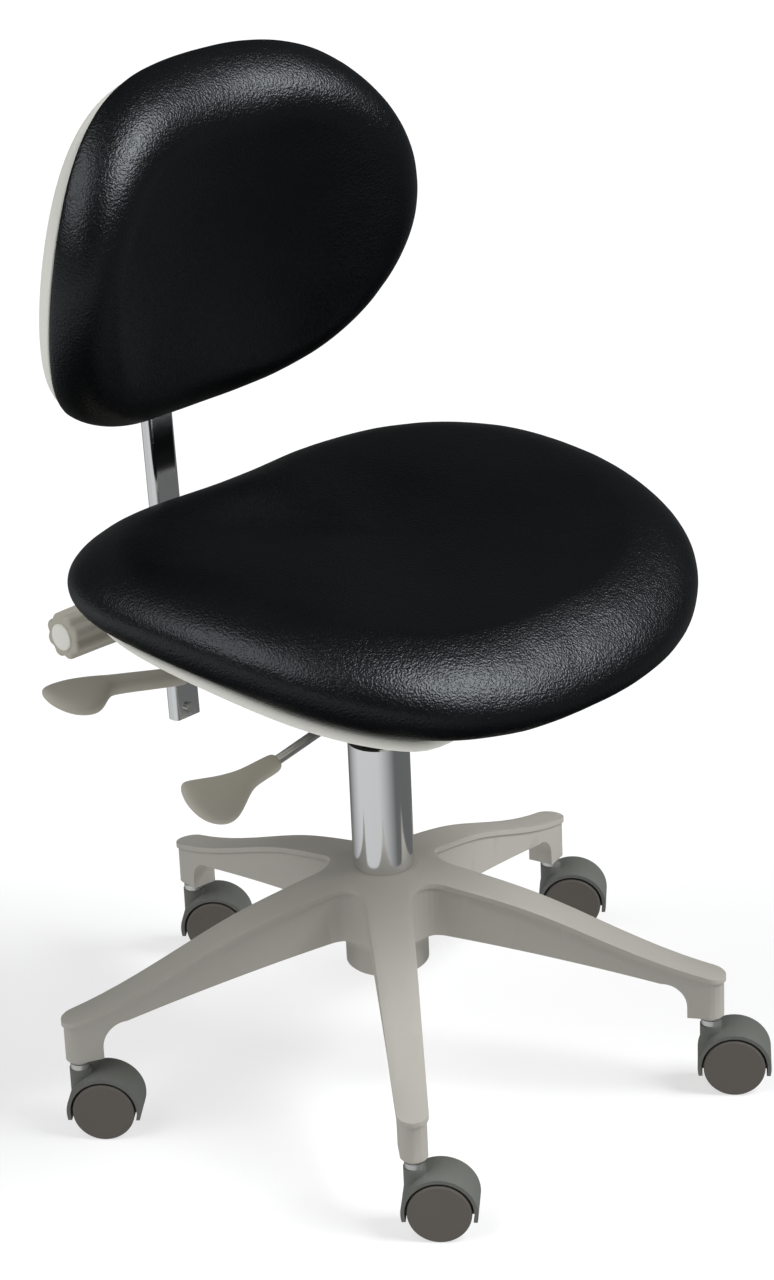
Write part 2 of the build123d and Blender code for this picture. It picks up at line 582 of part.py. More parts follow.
def make_back_arm():
    pivot = (BACK_PIVOT_Y, BACK_PIVOT_Z)
    wall = HOUSING_HALF_WIDTH
    inner = wall - SHEET
    pin = disc_x(BACK_PIN_R, -wall, wall + BACK_PIN_END, *pivot)
    pin += disc_x(BACK_PIN_HEAD_R, -wall - BACK_PIN_HEAD, -wall, *pivot)
    nut_face = Plane(origin=(wall, *pivot), z_dir=(1, 0, 0))
    pin += extrude(nut_face * RegularPolygon(BACK_PIN_HEAD_R, 6), BACK_PIN_HEAD)
    save("back_pivot_pin", pin)

    washers = []
    for low in (-inner, inner - WASHER):
        ring = disc_x(BARREL_R, low, low + WASHER, *pivot)
        washers.append(ring - disc_x(BACK_PIN_R + FIT, low, low + WASHER, *pivot))
    save("friction_washers", *washers)

    barrel_end = inner - WASHER - FIT
    bar_low, bar_high = ARM_BAR_Z
    sleeve_face = post_plane((SLEEVE_BOTTOM + SLEEVE_TOP) / 2).origin.Y - POST_DEPTH / 2 - SLEEVE_WALL
    half = ARM_BAR_HALF_WIDTH
    bracket_half = ARM_BRACKET_HALF_WIDTH
    bracket_front = sleeve_face - ARM_BRACKET_DEPTH
    arm = disc_x(BARREL_R, -barrel_end, barrel_end, *pivot)
    arm += block(-half, half, BACK_PIVOT_Y, sleeve_face, bar_low, bar_high)
    arm += block(-bracket_half, bracket_half, bracket_front, sleeve_face, bar_low, ARM_BRACKET_TOP_Z)
    rib_front, rib_rear = BACK_PIVOT_Y + ARM_RIB_START, bracket_front + OVERCUT
    rib_low, rib_high = ARM_RIB_Z
    rib = make_face(Polyline((rib_front, rib_low), (rib_rear, rib_low), (rib_rear, rib_high), close=True))
    rib_x, rib_end = ARM_RIB_X
    for x in (rib_x, -rib_end):
        arm += extrude(Plane.YZ.offset(x) * rib, rib_end - rib_x)
    arm -= disc_x(BACK_PIN_R + FIT, -inner, inner, *pivot)
    sleeve_outer = RectangleRounded(POST_WIDTH + 2 * SLEEVE_WALL, POST_DEPTH + 2 * SLEEVE_WALL, SLEEVE_CORNER_R)
    length = SLEEVE_TOP - SLEEVE_BOTTOM
    arm -= extrude(post_plane(SLEEVE_BOTTOM - SLEEVE_ROOM) * sleeve_outer, length + 2 * SLEEVE_ROOM)
    save("back_arm", arm)

    bore = RectangleRounded(POST_WIDTH + 2 * FIT, POST_DEPTH + 2 * FIT, POST_CORNER_R)
    sleeve = extrude(post_plane(SLEEVE_BOTTOM) * sleeve_outer, length)
    sleeve = fillet(sleeve.edges().group_by(Axis.Z)[-1], SLEEVE_EDGE_R)
    knob_y, knob_z = knob_axis()
    sleeve += disc_x(BOSS_R, BOSS_END_X, -POST_WIDTH / 2 - OVERCUT, knob_y, knob_z)
    sleeve -= extrude(post_plane(SLEEVE_BOTTOM) * bore, length)
    sleeve -= disc_x(STUD_R + FIT, BOSS_END_X, OVERCUT - POST_WIDTH / 2, knob_y, knob_z)
    save("post_sleeve", sleeve)


def knob_axis():
    """Y and Z of the clamp knob's axis."""
    origin = post_plane(KNOB_ALONG_POST).origin
    return origin.Y, origin.Z


def make_knob():
    y, z = knob_axis()
    length = KNOB_INNER_X - KNOB_OUTER_X
    face = Plane(origin=(KNOB_INNER_X, y, z), z_dir=(-1, 0, 0))
    knob = extrude(face * Circle(KNOB_R), length, taper=KNOB_TAPER)
    knob = fillet(knob.edges(), KNOB_EDGE_R)
    for flute in PolarLocations(KNOB_R + KNOB_FLUTE_R - KNOB_FLUTE_DEPTH, KNOB_FLUTES):
        knob -= extrude(face * flute * Circle(KNOB_FLUTE_R), length)
    knob -= disc_x(STUD_R, KNOB_INNER_X - STUD_DEPTH, KNOB_INNER_X, y, z)
    knob -= disc_x(KNOB_CAP_R, KNOB_OUTER_X, KNOB_OUTER_X + KNOB_CAP_DEPTH, y, z)
    save("clamp_knob", knob)

    cap = disc_x(KNOB_CAP_R, KNOB_OUTER_X - KNOB_CAP_DEPTH, KNOB_OUTER_X + KNOB_CAP_DEPTH, y, z)
    cap = fillet(cap.edges().group_by(Axis.X)[0], KNOB_CAP_EDGE_R)
    save("knob_cap", cap)

    stud = disc_x(STUD_R, KNOB_INNER_X - STUD_DEPTH, -POST_WIDTH / 2 - GAP, y, z)
    save("knob_stud", stud)


# ---------------------------------------------------------------- seat
def seat_height(terms, y):
    """Height of one of the seat's long curves at y."""
    return sum(term * (y / 100) ** power for power, term in enumerate(terms))


def seat_layer(low_terms, low_rise, high_terms, high_rise):
    """Slab between two of the seat's long curves, each raised by a constant."""
    front, rear = SEAT_REACH_Y

    def curve(terms, rise):
        places = [front + (rear - front) * step / SEAT_CURVE_STEPS for step in range(SEAT_CURVE_STEPS + 1)]
        return Spline(*[(y, seat_height(terms, y) + rise) for y in places])

    low, high = curve(low_terms, low_rise), curve(high_terms, high_rise)
    side = make_face([low, high, Line(low @ 0, high @ 0), Line(low @ 1, high @ 1)])
    return extrude(Plane.YZ * side, rear - front, both=True)


def seat_prism(inset):
    """Upright prism of the seat's outline, drawn in by `inset`."""
    low, high = SEAT_REACH_Z
    return extrude(Pos(0, SEAT_CENTRE_Y, low) * rounded_outline(SEAT_OUTLINE, inset), high - low)


def seat_band(low_rise, high_rise):
    """Slab between two heights above the cushion's underside."""
    return seat_layer(SEAT_UNDERSIDE, low_rise, SEAT_UNDERSIDE, high_rise)


def make_seat():
    board_top = GAP + BOARD_THICKNESS
    cushion = seat_prism(0) & seat_layer(SEAT_UNDERSIDE, GAP, SEAT_WAIST, SEAT_CROWN)
    cushion -= seat_prism(BOARD_INSET - BOARD_ROOM) & seat_band(-GAP, board_top + GAP)
    save("seat_cushion", cushion)

    board = seat_prism(BOARD_INSET) & seat_band(GAP, board_top)
    pan = seat_prism(PAN_INSET) & seat_layer(SEAT_PAN_BOTTOM, 0, SEAT_UNDERSIDE, 0)
    pan -= seat_prism(PAN_INSET + PAN_WALL) & seat_layer(SEAT_PAN_BOTTOM, PAN_WALL, SEAT_UNDERSIDE, PAN_WALL)
    half = HOUSING_HALF_WIDTH + SHEET + PLINTH_MARGIN
    front, rear = SEAT_PLATE_Y
    plate_top = SEAT_PLATE_Z[1]
    plinth = block(-half, half, front - PLINTH_MARGIN, rear + PLINTH_MARGIN, plate_top, SEAT_REACH_Z[1])
    pan += fillet(plinth.edges().filter_by(Axis.Z), PLINTH_EDGE_R) & seat_band(-PLINTH_REACH, 0)
    screws = []
    for x, y in seat_screw_places():
        screw_top = seat_height(SEAT_UNDERSIDE, y) + SEAT_SCREW_BITE
        hole = disc_z(SCREW_R + FIT, plate_top - OVERCUT, screw_top + OVERCUT, x, y)
        pan -= hole
        board -= hole
        screw = disc_z(SCREW_R, plate_top - SHEET, screw_top, x, y)
        screw += disc_z(SCREW_HEAD_R, plate_top - SHEET - SCREW_HEAD, plate_top - SHEET, x, y)
        screws.append(screw)
    save("seat_board", board)
    save("seat_pan", pan)
    save("seat_screws", *screws)


# ---------------------------------------------------------------- backrest
def back_place(piece):
    """Moves a piece from the backrest's own frame: X across, Y to the rear, Z up the cushion."""
    y, z = BACK_CENTRE
    return Pos(0, y, z) * Rot(BACK_LEAN, 0, 0) * piece


def back_layer(low, high, inset):
    """Curved layer of the backrest between two depths behind the cushion's rear face."""
    centre = Pos(0, -BACK_CURVE_R, -BACK_REACH_Z)
    ring = centre * Circle(BACK_CURVE_R + high) - centre * Circle(BACK_CURVE_R + low)
    front, rear = BACK_REACH_Y
    outline = rounded_outline(BACK_OUTLINE, inset)
    prism = extrude(Plane(origin=(0, rear, 0), x_dir=(1, 0, 0), z_dir=(0, -1, 0)) * outline, rear - front)
    return extrude(ring, 2 * BACK_REACH_Z) & prism


def post_shape(grow):
    """The bent flat bar, grown all round by `grow`."""
    section = RectangleRounded(POST_WIDTH + 2 * grow, POST_DEPTH + 2 * grow, POST_CORNER_R + grow)
    lower = extrude(post_plane(-grow) * section, POST_BEND_LENGTH + grow)
    bend = post_plane(POST_BEND_LENGTH)
    lean = math.radians(BACK_LEAN)
    upward = Plane(origin=bend.origin, x_dir=(1, 0, 0), z_dir=(0, -math.sin(lean), math.cos(lean)))
    corner = bend.location * Rot(0, 90, 0) * Cylinder(POST_DEPTH / 2 + grow, POST_WIDTH + 2 * grow)
    return lower + corner + extrude(upward * section, POST_HEAD_LENGTH + grow)


def make_backrest():
    save("back_cushion", back_place(back_layer(-BACK_CUSHION_DEPTH, 0, 0)))

    board = back_place(back_layer(GAP, GAP + BACK_BOARD_DEPTH, BACK_BOARD_INSET))
    pad_front = BACK_BOARD_DEPTH + OVERCUT
    shell = back_layer(GAP, BACK_SHELL_DEPTH, BACK_SHELL_INSET)
    shell -= back_layer(GAP - OVERCUT, pad_front, BACK_SHELL_INSET + BACK_SHELL_WALL)
    pad_side, pad_end = BACK_PAD_MARGIN
    half = BACK_SCREW_X + pad_side
    low, high = BACK_SCREW_U
    bracket_face = BACK_SHELL_DEPTH + GAP
    pad = block(-half, half, pad_front, bracket_face, low - pad_end, high + pad_end)
    room = post_shape(BACK_POST_ROOM)
    shell = back_place(shell + pad) - room
    board -= room

    bracket_side, bracket_end = BRACKET_MARGIN
    half = BACK_SCREW_X + bracket_side
    bracket_rear = bracket_face + SHEET
    bracket = block(-half, half, bracket_face, bracket_rear, low - bracket_end, high + bracket_end)
    bracket = back_place(fillet(bracket.edges().filter_by(Axis.Y), BRACKET_EDGE_R)) - post_shape(0)

    screws = []
    for x in (-BACK_SCREW_X, BACK_SCREW_X):
        for u in BACK_SCREW_U:
            shank = disc_y(BACK_SCREW_R, BACK_SCREW_START, bracket_rear, x, u)
            head = disc_y(BACK_SCREW_HEAD_R, bracket_rear, bracket_rear + BACK_SCREW_HEAD, x, u)
            hole = back_place(disc_y(BACK_SCREW_R + FIT, BACK_SCREW_START, bracket_rear + OVERCUT, x, u))
            screws.append(back_place(shank + head))
            board -= hole
            shell -= hole
            bracket -= hole
    save("back_board", board)
    save("back_shell", shell)
    save("back_bracket", bracket)
    save("back_screws", *screws)

    screw_plane = post_plane(STOP_SCREW_ALONG_POST)
    front = Plane(origin=screw_plane.origin, x_dir=(1, 0, 0), z_dir=-screw_plane.y_dir)
    post = post_shape(0) - extrude(front * Circle(STOP_SCREW_R), POST_DEPTH)
    save("back_post", post)
    stop = extrude(front * Circle(STOP_SCREW_R), POST_DEPTH / 2)
    stop += extrude(front.offset(POST_DEPTH / 2) * Circle(STOP_SCREW_HEAD_R), STOP_SCREW_HEAD)
    save("post_stop_screw", stop)


def main():
    os.makedirs("parts", exist_ok=True)
    make_base()
    make_column()
    for index, x, y in stem_places():
        make_caster(index, x, y)
    make_housing()
    make_seat_plate()
    make_levers()
    make_back_arm()
    make_knob()
    make_seat()
    make_backrest()


main()
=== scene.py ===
import json
import math

import bmesh
import bpy
from mathutils import Matrix, Vector


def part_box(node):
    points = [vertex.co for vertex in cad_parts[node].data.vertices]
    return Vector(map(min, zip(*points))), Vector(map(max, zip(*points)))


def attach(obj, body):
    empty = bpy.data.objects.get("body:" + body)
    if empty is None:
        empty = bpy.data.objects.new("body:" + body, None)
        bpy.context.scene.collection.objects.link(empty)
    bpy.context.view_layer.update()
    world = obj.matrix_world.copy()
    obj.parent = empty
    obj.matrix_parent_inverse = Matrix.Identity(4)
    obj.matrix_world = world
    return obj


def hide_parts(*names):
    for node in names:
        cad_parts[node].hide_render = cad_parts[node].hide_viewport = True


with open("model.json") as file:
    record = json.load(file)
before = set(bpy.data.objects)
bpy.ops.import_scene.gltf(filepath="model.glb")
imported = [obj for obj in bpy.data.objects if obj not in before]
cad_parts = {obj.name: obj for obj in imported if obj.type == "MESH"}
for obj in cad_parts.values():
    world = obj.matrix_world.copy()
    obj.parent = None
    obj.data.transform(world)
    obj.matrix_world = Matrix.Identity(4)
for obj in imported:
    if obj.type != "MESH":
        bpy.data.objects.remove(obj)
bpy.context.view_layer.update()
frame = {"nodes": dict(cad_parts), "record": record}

MM = 0.001  # shapes below are given in millimetres, Blender works in metres


# ---------------------------------------------------------------- nodes
COLOUR_NOISE_SPAN = (0.35, 0.65)  # the noise levels over which a colour goes from dark to light
ROUGHNESS_NOISE_SPAN = (0.3, 0.7)


def new_material(name):
    """A fresh node material, with its shader and its node tree."""
    material = bpy.data.materials.new(name)
    material.use_nodes = True
    return material, material.node_tree.nodes["Principled BSDF"], material.node_tree


def add_node(tree, kind, **inputs):
    """A node with some of its inputs set; underscores stand for spaces in input names."""
    node = tree.nodes.new(kind)
    for key, value in inputs.items():
        node.inputs[key.replace("_", " ")].default_value = value
    return node


def map_span(tree, source, span, result):
    """A value carried from one span to another, held at both ends."""
    node = add_node(
        tree, "ShaderNodeMapRange", From_Min=span[0], From_Max=span[1], To_Min=result[0], To_Max=result[1]
    )
    tree.links.new(source, node.inputs["Value"])
    return node.outputs["Result"]


def object_noise(tree, scale, detail=3.0):
    """Noise in the object's own coordinates."""
    coordinates = tree.nodes.new("ShaderNodeTexCoord")
    noise = add_node(tree, "ShaderNodeTexNoise", Scale=scale, Detail=detail, Roughness=0.5)
    tree.links.new(coordinates.outputs["Object"], noise.inputs["Vector"])
    return noise.outputs


def vary_colour(tree, shader, level, dark, light):
    """Base colour that wanders between two tones."""
    ramp = tree.nodes.new("ShaderNodeValToRGB")
    for stop, position, colour in zip(ramp.color_ramp.elements, COLOUR_NOISE_SPAN, (dark, light)):
        stop.position = position
        stop.color = (*colour, 1)
    tree.links.new(level, ramp.inputs["Fac"])
    tree.links.new(ramp.outputs["Color"], shader.inputs["Base Color"])


def vary_roughness(tree, shader, level, low, high):
    """Roughness that wanders between two values."""
    roughness = map_span(tree, level, ROUGHNESS_NOISE_SPAN, (low, high))
    tree.links.new(roughness, shader.inputs["Roughness"])


def add_bump(tree, shader, height, strength, distance):
    """Bump from a height output, on top of any bump already there."""
    bump = add_node(tree, "ShaderNodeBump", Strength=strength, Distance=distance)
    tree.links.new(height, bump.inputs["Height"])
    for link in list(tree.links):
        if link.to_socket == shader.inputs["Normal"]:
            tree.links.new(link.from_socket, bump.inputs["Normal"])
    tree.links.new(bump.outputs["Normal"], shader.inputs["Normal"])


# ---------------------------------------------------------------- camera, floor and light
CAMERA_AZIMUTH = math.radians(-44.0)  # from the sitter's front round to the sitter's right
CAMERA_ELEVATION = math.radians(23.6)
CAMERA_ROLL = math.radians(-2.47)
CAMERA_DISTANCE = 3.0523
CAMERA_RISE = 0.2964  # how far the camera's axis passes above the stool's foot
CAMERA_SIDE = 0.0024
CAMERA_FOOT_Z = 0.0535
CAMERA_LENS = 103.8
CAMERA_SENSOR = 36

# the room's light by direction: dim above the horizon, lighter below it towards the sitter's right
ROOM_COLOUR = (0.97, 0.99, 1.0, 1)
ROOM_LEVEL = 0.06
BELOW_LEVELS = (0.7, 0.15)  # at the sitter's right and at the left
BELOW_SPAN_X = (-0.7, 0.2)
DEEP_SHARES = (0.08, 1.0)  # share of that level left straight below, and nearer the horizon
DEEP_SPAN_Z = (-0.7, -0.45)
HORIZON_SPAN_Z = (-0.1, -0.04)

LIGHT_COLOUR = (0.98, 0.99, 1.0)
# name, azimuth, elevation and spread in degrees, and strength; azimuth 0 is the sitter's front
FAR_LIGHTS = (("key", 32, 47, 32, 3.3), ("side", -112, 47, 50, 1.7))

BACKDROP_RADIUS = 29
BACKDROP_GLOW = 0.99
FLOOR_SIZE = 60
FLOOR_ALBEDO = 0.4
FLOOR_ROUGHNESS = 0.9
FLOOR_SPECULAR = 0.1
FLOOR_GLOW = 0.6


def make_camera():
    """The camera of the main view, three quarters from the sitter's right."""
    azimuth, elevation, roll = CAMERA_AZIMUTH, CAMERA_ELEVATION, CAMERA_ROLL
    back = Vector((
        math.cos(elevation) * math.sin(azimuth), -math.cos(elevation) * math.cos(azimuth), math.sin(elevation)
    ))
    level = Vector((math.cos(azimuth), math.sin(azimuth), 0))
    upright = back.cross(level)
    right = level * math.cos(roll) + upright * math.sin(roll)
    up = upright * math.cos(roll) - level * math.sin(roll)
    place = back * CAMERA_DISTANCE + up * CAMERA_RISE - right * CAMERA_SIDE + Vector((0, 0, CAMERA_FOOT_Z))
    data = bpy.data.cameras.new("main_camera")
    data.lens = CAMERA_LENS
    data.sensor_width = CAMERA_SENSOR
    camera = bpy.data.objects.new("main_camera", data)
    camera.matrix_world = Matrix((
        (right.x, up.x, back.x, place.x),
        (right.y, up.y, back.y, place.y),
        (right.z, up.z, back.z, place.z),
        (0, 0, 0, 1),
    ))
    bpy.context.scene.collection.objects.link(camera)
    bpy.context.scene.camera = camera


def make_far_light(name, azimuth, elevation, spread, strength):
    """A wide, very distant light, seen from the stool in that direction."""
    azimuth, elevation = math.radians(azimuth), math.radians(elevation)
    towards = Vector((
        math.sin(azimuth) * math.cos(elevation), -math.cos(azimuth) * math.cos(elevation), math.sin(elevation)
    ))
    data = bpy.data.lights.new(name, "SUN")
    data.angle = math.radians(spread)
    data.energy = strength
    data.color = LIGHT_COLOUR
    light = bpy.data.objects.new(name, data)
    light.rotation_mode = "QUATERNION"
    light.rotation_quaternion = (-towards).to_track_quat("-Z", "Y")
    bpy.context.scene.collection.objects.link(light)


def make_surroundings():
    """The world's light, which the glossy surfaces reflect."""
    world = bpy.data.worlds.new("studio")
    bpy.context.scene.world = world
    world.use_nodes = True
    tree = world.node_tree
    direction = tree.nodes.new("ShaderNodeTexCoord")
    parts = tree.nodes.new("ShaderNodeSeparateXYZ")
    tree.links.new(direction.outputs["Generated"], parts.inputs["Vector"])
    below = tree.nodes.new("ShaderNodeMath")
    below.operation = "MULTIPLY"
    tree.links.new(map_span(tree, parts.outputs["X"], BELOW_SPAN_X, BELOW_LEVELS), below.inputs[0])
    tree.links.new(map_span(tree, parts.outputs["Z"], DEEP_SPAN_Z, DEEP_SHARES), below.inputs[1])
    mix = add_node(tree, "ShaderNodeMix", B=ROOM_LEVEL)
    tree.links.new(map_span(tree, parts.outputs["Z"], HORIZON_SPAN_Z, (0.0, 1.0)), mix.inputs["Factor"])
    tree.links.new(below.outputs["Value"], mix.inputs["A"])
    background = tree.nodes["Background"]
    tree.links.new(mix.outputs["Result"], background.inputs["Strength"])
    background.inputs["Color"].default_value = ROOM_COLOUR


def make_backdrop():
    """A pale dome round the floor, there for the camera only."""
    bpy.ops.mesh.primitive_uv_sphere_add(segments=48, ring_count=24, radius=BACKDROP_RADIUS)
    dome = bpy.context.object
    dome.name = "backdrop"
    material, shader, _ = new_material("backdrop_white")
    dome.data.materials.append(material)
    shader.inputs["Base Color"].default_value = (0, 0, 0, 1)
    shader.inputs["Specular IOR Level"].default_value = 0.0
    shader.inputs["Emission Color"].default_value = (1, 1, 1, 1)
    shader.inputs["Emission Strength"].default_value = BACKDROP_GLOW
    dome.visible_diffuse = False
    dome.visible_glossy = False
    dome.visible_transmission = False
    dome.visible_volume_scatter = False
    dome.visible_shadow = False


def make_floor():
    """A pale floor that brightens itself a little, so the stool's shadows stay faint."""
    bpy.ops.mesh.primitive_plane_add(size=FLOOR_SIZE)
    floor = bpy.context.object
    floor.name = "floor"
    floor.visible_glossy = False
    material, shader, _ = new_material("floor_white")
    floor.data.materials.append(material)
    shader.inputs["Base Color"].default_value = (FLOOR_ALBEDO, FLOOR_ALBEDO, FLOOR_ALBEDO, 1)
    shader.inputs["Roughness"].default_value = FLOOR_ROUGHNESS
    shader.inputs["Specular IOR Level"].default_value = FLOOR_SPECULAR
    shader.inputs["Emission Color"].default_value = (1, 1, 1, 1)
    shader.inputs["Emission Strength"].default_value = FLOOR_GLOW


def make_studio():
    """The floor, the backdrop, the room's light and the two lamps."""
    bpy.context.scene.view_settings.view_transform = "Standard"
    make_surroundings()
    make_floor()
    make_backdrop()
    for far_light in FAR_LIGHTS:
        make_far_light(*far_light)


# ---------------------------------------------------------------- materials
PLASTIC_SPECULAR = 0.25
CLOUD_SCALE = 14.0  # noise scales are in cells to the metre
PLASTIC_WAVES = (30.0, 0.05, 0.002)  # scale, bump strength and bump depth in metres
PLASTIC_GRAIN_DEPTH = 0.0002

LEATHER_DARK = (0.0010, 0.0012, 0.0016)
LEATHER_LIGHT = (0.0018, 0.0020, 0.0026)
LEATHER_SPECULAR = 0.4
LEATHER_TINT = (0.9, 0.95, 1.0, 1)
LEATHER_ROUGHNESS = (0.33, 0.37)
PEBBLE_SCALE = 620.0
PEBBLE_BUMP = (0.8, 0.0005)
PEBBLE_WARP = 0.005  # how far the pebbles wander from an even net
PEBBLE_WARP_SCALE = 160.0
CREASE_BUMP = (0.03, 0.0010)
CREASE_SCALE = 70.0
SAG_BUMP = (0.05, 0.01)
SAG_SCALE = 8.0

METAL_WAVES = (25.0, 0.03, 0.001)

PLY_GRAIN_STRETCH = (4.0, 60.0, 60.0)
PLY_DARK = (0.42, 0.28, 0.15)
PLY_LIGHT = (0.60, 0.44, 0.26)

DRESSED_AS = {"guide_bush": "chrome"}  # the bush's collar is plated like the tube


def plastic(name, dark, light, rough, grain_scale=900.0, grain=0.12):
    """Moulded plastic: faint clouding of colour and gloss over a fine moulded texture.

    Known fault: the frame brings a flat material of the same name for each plastic and paint, and the
    lookup by name finds that one, so the material made here is on no piece. Returning it instead would
    change the look.
    """
    _, shader, tree = new_material(name)
    clouds = object_noise(tree, CLOUD_SCALE, 4.0)["Fac"]
    vary_colour(tree, shader, clouds, dark, light)
    vary_roughness(tree, shader, clouds, rough - 0.04, rough + 0.05)
    add_bump(tree, shader, object_noise(tree, grain_scale, 2.0)["Fac"], grain, PLASTIC_GRAIN_DEPTH)
    scale, strength, depth = PLASTIC_WAVES
    add_bump(tree, shader, object_noise(tree, scale, 2.0)["Fac"], strength, depth)
    shader.inputs["Specular IOR Level"].default_value = PLASTIC_SPECULAR
    return bpy.data.materials[name]


def leather():
    """Black coated upholstery with a fine pebble grain and a soft gloss."""
    material, shader, tree = new_material("black_leather")
    clouds = object_noise(tree, 9.0)["Fac"]
    vary_colour(tree, shader, clouds, LEATHER_DARK, LEATHER_LIGHT)
    vary_roughness(tree, shader, clouds, *LEATHER_ROUGHNESS)
    shader.inputs["Specular IOR Level"].default_value = LEATHER_SPECULAR
    shader.inputs["Specular Tint"].default_value = LEATHER_TINT

    coordinates = tree.nodes.new("ShaderNodeTexCoord")
    cells = add_node(tree, "ShaderNodeTexVoronoi", Scale=PEBBLE_SCALE)
    cells.feature = "SMOOTH_F1"
    mix = add_node(tree, "ShaderNodeMix", Factor=PEBBLE_WARP)
    mix.data_type = "VECTOR"
    tree.links.new(coordinates.outputs["Object"], mix.inputs["A"])
    tree.links.new(object_noise(tree, PEBBLE_WARP_SCALE)["Color"], mix.inputs["B"])
    tree.links.new(mix.outputs["Result"], cells.inputs["Vector"])

    add_bump(tree, shader, cells.outputs["Distance"], *PEBBLE_BUMP)
    add_bump(tree, shader, object_noise(tree, CREASE_SCALE)["Fac"], *CREASE_BUMP)
    add_bump(tree, shader, object_noise(tree, SAG_SCALE, 1.0)["Fac"], *SAG_BUMP)
    return material


def metal(name, colour, rough_low, rough_high, scale=40.0):
    """Bare or plated metal with slightly uneven polish.

    Known fault, as for the plastics: the chrome found by name is the frame's own flat one.
    """
    _, shader, tree = new_material(name)
    shader.inputs["Metallic"].default_value = 1.0
    shader.inputs["Base Color"].default_value = (*colour, 1)
    vary_roughness(tree, shader, object_noise(tree, scale, 4.0)["Fac"], rough_low, rough_high)
    wave_scale, strength, depth = METAL_WAVES
    add_bump(tree, shader, object_noise(tree, wave_scale, 2.0)["Fac"], strength, depth)
    return bpy.data.materials[name]


def plywood():
    """Birch plywood with long wavy grain."""
    material, shader, tree = new_material("birch_plywood")
    coordinates = tree.nodes.new("ShaderNodeTexCoord")
    stretch = tree.nodes.new("ShaderNodeMapping")
    stretch.inputs["Scale"].default_value = PLY_GRAIN_STRETCH
    noise = add_node(tree, "ShaderNodeTexNoise", Scale=3.0, Detail=5.0)
    tree.links.new(coordinates.outputs["Object"], stretch.inputs["Vector"])
    tree.links.new(stretch.outputs["Vector"], noise.inputs["Vector"])
    vary_colour(tree, shader, noise.outputs["Fac"], PLY_DARK, PLY_LIGHT)
    shader.inputs["Roughness"].default_value = 0.7
    add_bump(tree, shader, noise.outputs["Fac"], 0.1, 0.0005)
    return material


def make_materials():
    """One material for each slot of the record."""
    return {
        "base_plastic": plastic(
            "base_plastic", (0.335, 0.32, 0.285), (0.36, 0.343, 0.308), 0.5, grain_scale=1200.0, grain=0.06
        ),
        "caster_hood": plastic("caster_hood", (0.082, 0.082, 0.075), (0.094, 0.094, 0.086), 0.5),
        "caster_wheel": plastic("caster_wheel", (0.075, 0.070, 0.063), (0.086, 0.08, 0.072), 0.5),
        "lever_plastic": plastic("lever_plastic", (0.44, 0.42, 0.36), (0.47, 0.45, 0.39), 0.48),
        "shell_plastic": plastic("shell_plastic", (0.66, 0.65, 0.60), (0.70, 0.69, 0.64), 0.5),
        "black_plastic": plastic("black_plastic", (0.012, 0.012, 0.012), (0.02, 0.02, 0.02), 0.45),
        "chrome": metal("chrome", (0.72, 0.73, 0.74), 0.06, 0.1, 20.0),
        "steel": metal("zinc_steel", (0.80, 0.80, 0.78), 0.30, 0.42),
        "black_paint": plastic(
            "black_paint", (0.012, 0.012, 0.013), (0.018, 0.018, 0.019), 0.4, grain_scale=1500.0, grain=0.2
        ),
        "plywood": plywood(),
        "leather": leather(),
    }


def dress_cad_nodes(materials):
    """Gives every CAD node the material of its slot."""
    for row in frame["record"]["subparts"]:
        slots = frame["nodes"][row["node"]].data.materials
        slots.clear()
        slots.append(materials[DRESSED_AS.get(row["node"], row["material_slot"])])


# ---------------------------------------------------------------- mesh helpers
def turn(steps, start=0.0):
    """The angles of a full turn in equal steps, each with its cosine and its sine."""
    for step in range(steps):
        angle = 2 * math.pi * (step + start) / steps
        yield angle, math.cos(angle), math.sin(angle)


def quarter(steps):
    """The cosines and sines of a quarter turn from 0, both ends included."""
    angles = [math.pi / 2 * step / steps for step in range(steps + 1)]
    return [(math.cos(angle), math.sin(angle)) for angle in angles]


def squared(value, power):
    """A sine or cosine pushed towards its ends, which makes an ellipse squarer."""
    return math.copysign(abs(value) ** power, value)


def smooth_step(x):
    """0 up to x = 0, 1 from x = 1, and smooth between."""
    x = min(1.0, max(0.0, x))
    return x * x * (3 - 2 * x)


def outline_radius(terms, t):
    """Rounded outline r = a0 + a1 sin t + a2 cos 2t + a3 sin 3t + a4 cos 4t, in millimetres."""
    a0, a1, a2, a3, a4 = terms
    return a0 + a1 * math.sin(t) + a2 * math.cos(2 * t) + a3 * math.sin(3 * t) + a4 * math.cos(4 * t)


def link_mesh(name, rings, material, body):
    """A smooth-shaded piece on a body: a closed skin through rings of equal length, its two ends closed."""
    count = len(rings[0])
    vertices = [point for ring in rings for point in ring]
    faces = []
    for level in range(len(rings) - 1):
        for step in range(count):
            a = level * count + step
            b = level * count + (step + 1) % count
            faces.append((a, b, b + count, a + count))
    for level in (0, len(rings) - 1):
        centre = sum((Vector(point) for point in rings[level]), Vector()) / count
        vertices.append(tuple(centre))
        hub = len(vertices) - 1
        for step in range(count):
            faces.append((level * count + step, level * count + (step + 1) % count, hub))

    mesh = bpy.data.meshes.new(name)
    mesh.from_pydata([tuple(vertex) for vertex in vertices], [], faces)
    mesh.update()
    piece = bpy.data.objects.new(name, mesh)
    bpy.context.scene.collection.objects.link(piece)
    editing = bmesh.new()
    editing.from_mesh(mesh)
    bmesh.ops.recalc_face_normals(editing, faces=editing.faces)
    editing.to_mesh(mesh)
    editing.free()
    for polygon in mesh.polygons:
        polygon.use_smooth = True
    mesh.materials.append(material)
    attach(piece, body)
    return piece


# ---------------------------------------------------------------- upholstery
SWELL_DEPTH = 1.6
SWELL_SIZE = 70.0
RING_STEPS = 144

